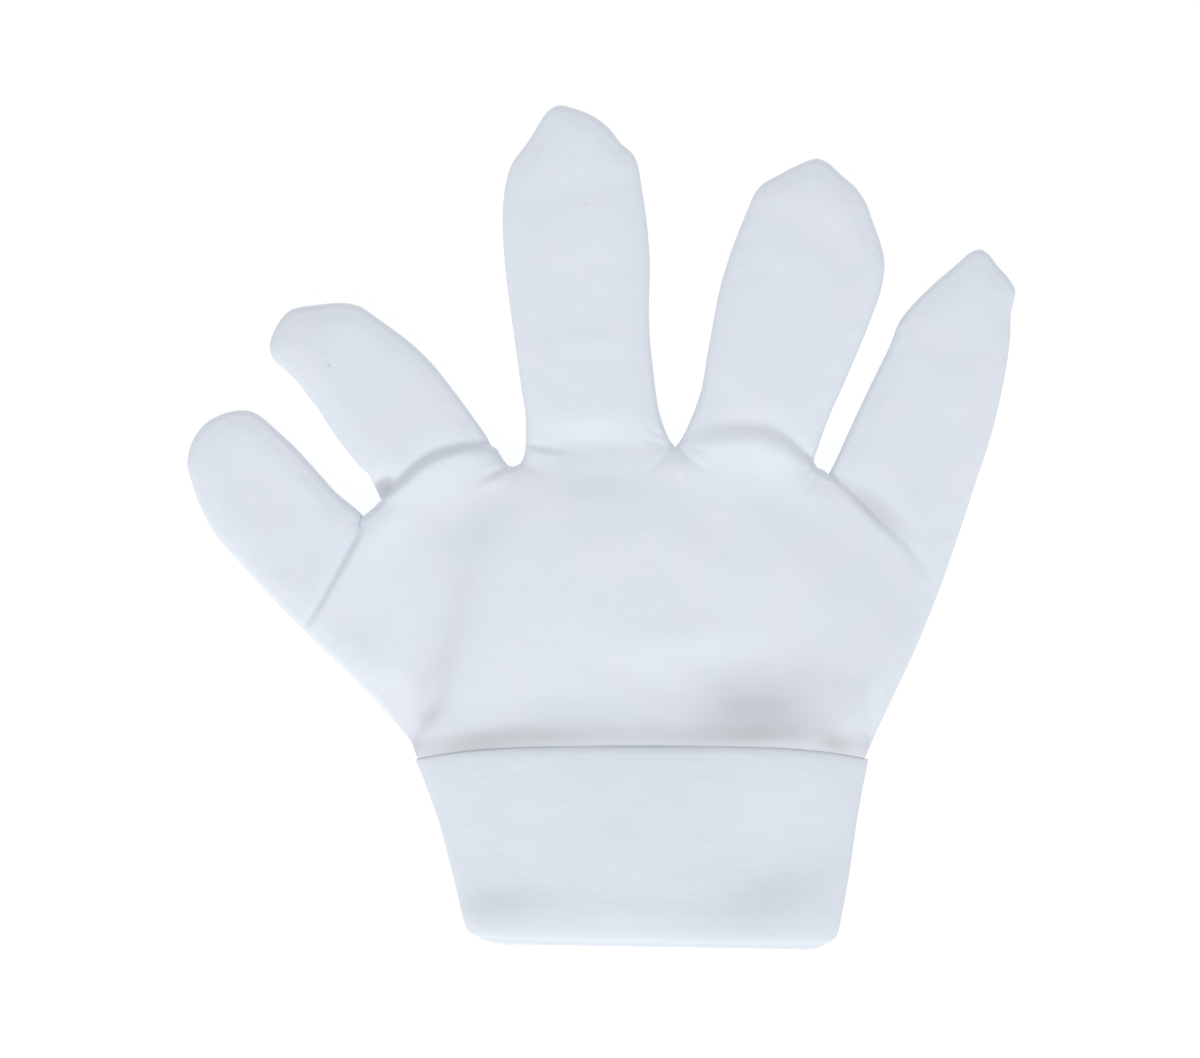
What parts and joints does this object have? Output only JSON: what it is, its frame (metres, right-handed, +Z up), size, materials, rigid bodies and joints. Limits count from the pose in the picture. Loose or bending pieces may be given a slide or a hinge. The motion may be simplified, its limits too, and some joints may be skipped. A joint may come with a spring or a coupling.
{
  "type": "costume glove",
  "caption": "Plain white stretch-knit costume glove with separate fingers and a folded cuff, lying flat with its back up.",
  "frame": {"origin": "middle of the glove's outline, on the surface that it lies on", "axes": "+Y towards the fingertips, +X towards the little finger, +Z up out of the back of the hand"},
  "size_m": [0.1974, 0.2026, 0.0145],
  "materials": {
    "hand_knit": "smooth matt stretch double knit, cool white",
    "cuff_knit": "matt brushed stretch knit, cool white, fine ribs across"
  },
  "bodies": {
    "root": {"back_panel": "hand_knit", "palm_panel": "hand_knit", "cuff": "cuff_knit"}
  },
  "joints": []
}
